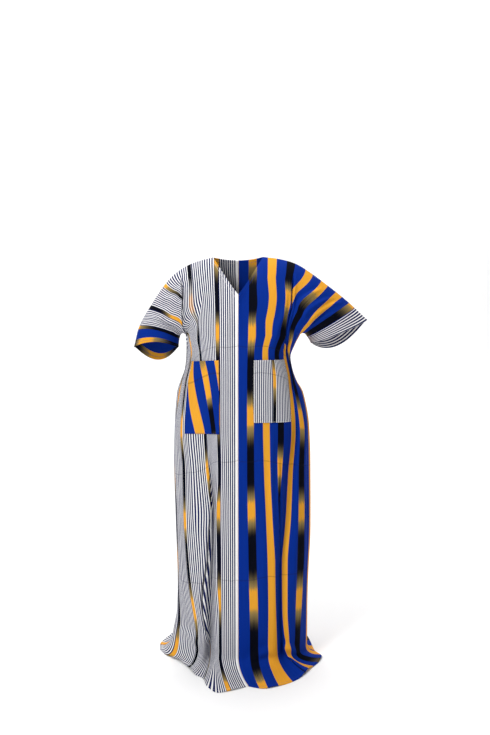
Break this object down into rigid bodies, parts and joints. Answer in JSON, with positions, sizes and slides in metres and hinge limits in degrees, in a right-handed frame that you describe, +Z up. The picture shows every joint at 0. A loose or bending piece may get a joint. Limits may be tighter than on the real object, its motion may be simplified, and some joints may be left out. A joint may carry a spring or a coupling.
{
  "type": "grand boubou robe",
  "caption": "Floor-length V-neck robe, wide sleeves cut in one with the body, contrast sleeve bands and patch pockets, hollow and open at neck, cuffs and hem.",
  "frame": {"origin": "between the shoulders, at the height where the shoulder line rests, where the wearer's shoulders hold the robe up", "axes": "+Z up, the wearer faces -Y, +X towards the wearer's left hand"},
  "size_m": [0.8267, 0.6472, 1.4142],
  "materials": {
    "blue_stripe_cotton": "matte woven cotton, royal blue with mustard and shaded dark stripes",
    "pinstripe_cotton": "matte woven cotton, white with navy pinstripes and thin shaded stripes"
  },
  "bodies": {
    "root": {"front_left": "blue_stripe_cotton", "front_right": "pinstripe_cotton", "back_left": "blue_stripe_cotton", "back_right": "pinstripe_cotton", "sleeve_band_left": "pinstripe_cotton", "sleeve_band_right": "blue_stripe_cotton", "pocket_left": "pinstripe_cotton", "pocket_right": "blue_stripe_cotton"}
  },
  "joints": []
}
